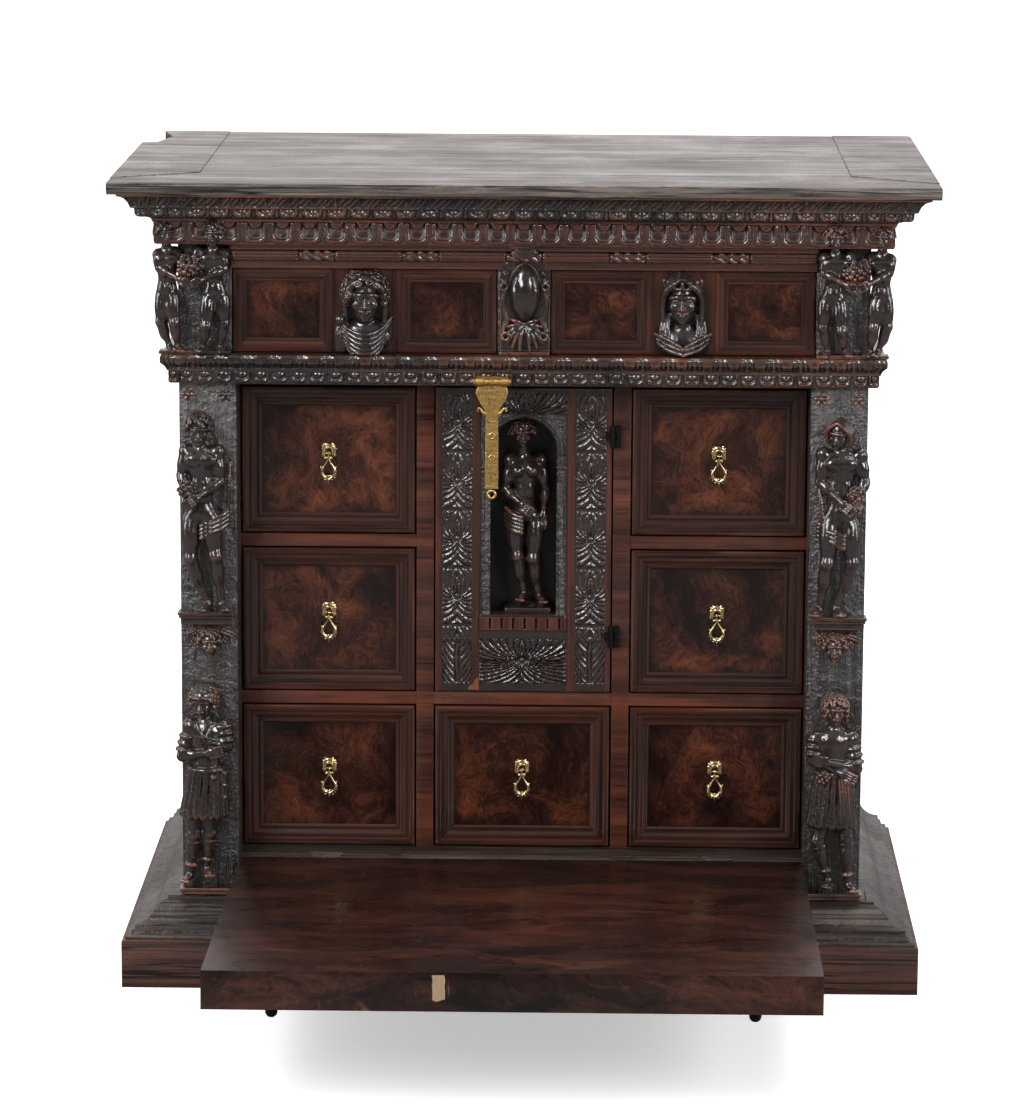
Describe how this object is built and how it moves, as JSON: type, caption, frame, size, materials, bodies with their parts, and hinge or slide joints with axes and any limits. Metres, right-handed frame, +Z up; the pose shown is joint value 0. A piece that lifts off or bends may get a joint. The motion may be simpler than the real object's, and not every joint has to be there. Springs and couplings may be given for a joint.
{
  "type": "vargueno cabinet",
  "caption": "Walnut table cabinet with a drop front, carved figures on its corners, drawers and a niche door; fall, door, drawers, pulls and hasp move.",
  "frame": {"origin": "on the floor, at the centre of the box round the cabinet with its fall open", "axes": "+Z up, -Y to the front, +X to the viewer's right when facing the front"},
  "size_m": [0.78, 0.8816, 0.7783],
  "materials": {
    "plinth_wood": "worn, waxed, reddish walnut",
    "carved_walnut": "dark polished carved walnut, worn on the edges",
    "rail_walnut": "polished reddish-brown walnut",
    "case_walnut": "waxed plain walnut boards",
    "inside_wood": "bare planed wood",
    "top_walnut": "dry, greyish, open-grained walnut",
    "figure_walnut": "glossy near-black carved walnut",
    "fall_walnut": "polished burl walnut with scratches",
    "burl_walnut": "polished burl walnut",
    "black_iron": "blackened wrought iron",
    "brass": "bright old brass",
    "gilt_brass": "gilding over brass, mottled and pitted"
  },
  "bodies": {
    "cabinet": {"plinth_block": "plinth_wood", "plinth_moulding": "carved_walnut", "bottom_boards": "rail_walnut", "corner_posts": "carved_walnut", "side_panels": "case_walnut", "back_panel": "inside_wood", "middle_board": "rail_walnut", "nest_case": "rail_walnut", "nest_dividers": "rail_walnut", "waist_moulding": "carved_walnut", "frieze_rail": "carved_walnut", "cornice": "carved_walnut", "top_boards": "top_walnut", "iron_hinge_pins": "black_iron", "frieze_carvings": "figure_walnut", "pilaster_carvings": "figure_walnut", "hasp_bracket": "gilt_brass", "hasp_pin": "gilt_brass"},
    "fall": {"fall_board": "fall_walnut", "fall_knobs": "black_iron", "fall_hinge_tangs": "black_iron"},
    "door": {"door_leaf": "carved_walnut", "door_niche": "carved_walnut", "statue": "figure_walnut", "door_hinge_eyes": "black_iron"},
    "hasp_strap": {"hasp_strap": "gilt_brass"},
    "upper_left_drawer": {"upper_left_front": "burl_walnut", "upper_left_box": "inside_wood", "upper_left_pull_mount": "brass"},
    "upper_left_drop": {"upper_left_pull_drop": "brass"},
    "upper_right_drawer": {"upper_right_front": "burl_walnut", "upper_right_box": "inside_wood", "upper_right_pull_mount": "brass"},
    "upper_right_drop": {"upper_right_pull_drop": "brass"},
    "middle_left_drawer": {"middle_left_front": "burl_walnut", "middle_left_box": "inside_wood", "middle_left_pull_mount": "brass"},
    "middle_left_drop": {"middle_left_pull_drop": "brass"},
    "middle_right_drawer": {"middle_right_front": "burl_walnut", "middle_right_box": "inside_wood", "middle_right_pull_mount": "brass"},
    "middle_right_drop": {"middle_right_pull_drop": "brass"},
    "lower_left_drawer": {"lower_left_front": "burl_walnut", "lower_left_box": "inside_wood", "lower_left_pull_mount": "brass"},
    "lower_left_drop": {"lower_left_pull_drop": "brass"},
    "lower_centre_drawer": {"lower_centre_front": "burl_walnut", "lower_centre_box": "inside_wood", "lower_centre_pull_mount": "brass"},
    "lower_centre_drop": {"lower_centre_pull_drop": "brass"},
    "lower_right_drawer": {"lower_right_front": "burl_walnut", "lower_right_box": "inside_wood", "lower_right_pull_mount": "brass"},
    "lower_right_drop": {"lower_right_pull_drop": "brass"},
    "frieze_left_drawer": {"frieze_left_front": "burl_walnut", "frieze_left_box": "inside_wood", "frieze_left_bust": "figure_walnut"},
    "frieze_right_drawer": {"frieze_right_front": "burl_walnut", "frieze_right_box": "inside_wood", "frieze_right_bust": "figure_walnut"}
  },
  "joints": [
    {"name": "fall_swing", "type": "hinge", "parent": "cabinet", "child": "fall", "pos_m": [0, 0.04325, 0.0975], "axis": [1, 0, 0], "range_deg": [-87.6, 0]},
    {"name": "door_swing", "type": "hinge", "parent": "cabinet", "child": "door", "pos_m": [0.08575, 0.07375, 0.4255], "axis": [0, 0, 1], "range_deg": [0, 27]},
    {"name": "upper_left_slide", "type": "slide", "parent": "cabinet", "child": "upper_left_drawer", "axis": [0, -1, 0], "range_m": [0, 0.28]},
    {"name": "upper_left_pull_swing", "type": "hinge", "parent": "upper_left_drawer", "child": "upper_left_drop", "pos_m": [-0.1885, 0.07575, 0.50525], "axis": [-1, 0, 0], "range_deg": [0, 80]},
    {"name": "upper_right_slide", "type": "slide", "parent": "cabinet", "child": "upper_right_drawer", "axis": [0, -1, 0], "range_m": [0, 0.28]},
    {"name": "upper_right_pull_swing", "type": "hinge", "parent": "upper_right_drawer", "child": "upper_right_drop", "pos_m": [0.1885, 0.07575, 0.50525], "axis": [-1, 0, 0], "range_deg": [0, 80]},
    {"name": "middle_left_slide", "type": "slide", "parent": "cabinet", "child": "middle_left_drawer", "axis": [0, -1, 0], "range_m": [0, 0.28]},
    {"name": "middle_left_pull_swing", "type": "hinge", "parent": "middle_left_drawer", "child": "middle_left_drop", "pos_m": [-0.1885, 0.07575, 0.34825], "axis": [-1, 0, 0], "range_deg": [0, 80]},
    {"name": "middle_right_slide", "type": "slide", "parent": "cabinet", "child": "middle_right_drawer", "axis": [0, -1, 0], "range_m": [0, 0.28]},
    {"name": "middle_right_pull_swing", "type": "hinge", "parent": "middle_right_drawer", "child": "middle_right_drop", "pos_m": [0.1885, 0.07575, 0.34825], "axis": [-1, 0, 0], "range_deg": [0, 80]},
    {"name": "lower_left_slide", "type": "slide", "parent": "cabinet", "child": "lower_left_drawer", "axis": [0, -0.9993, 0.0384], "range_m": [0, 0.28]},
    {"name": "lower_left_pull_swing", "type": "hinge", "parent": "lower_left_drawer", "child": "lower_left_drop", "pos_m": [-0.1885, 0.07575, 0.19275], "axis": [-1, 0, 0], "range_deg": [0, 80]},
    {"name": "lower_centre_slide", "type": "slide", "parent": "cabinet", "child": "lower_centre_drawer", "axis": [0, -0.9993, 0.0384], "range_m": [0, 0.28]},
    {"name": "lower_centre_pull_swing", "type": "hinge", "parent": "lower_centre_drawer", "child": "lower_centre_drop", "pos_m": [0, 0.07575, 0.19275], "axis": [-1, 0, 0], "range_deg": [0, 80]},
    {"name": "lower_right_slide", "type": "slide", "parent": "cabinet", "child": "lower_right_drawer", "axis": [0, -0.9993, 0.0384], "range_m": [0, 0.28]},
    {"name": "lower_right_pull_swing", "type": "hinge", "parent": "lower_right_drawer", "child": "lower_right_drop", "pos_m": [0.1885, 0.07575, 0.19275], "axis": [-1, 0, 0], "range_deg": [0, 80]},
    {"name": "frieze_left_slide", "type": "slide", "parent": "cabinet", "child": "frieze_left_drawer", "axis": [0, -1, 0], "range_m": [0, 0.3]},
    {"name": "frieze_right_slide", "type": "slide", "parent": "cabinet", "child": "frieze_right_drawer", "axis": [0, -1, 0], "range_m": [0, 0.3]},
    {"name": "hasp_lift", "type": "hinge", "parent": "cabinet", "child": "hasp_strap", "pos_m": [-0.0294, 0.00575, 0.587], "axis": [-1, 0, 0], "range_deg": [0, 101]}
  ],
  "couplings": [
    {"joint": "hasp_lift", "follows": "fall_swing", "ratio": -1.1416}
  ]
}
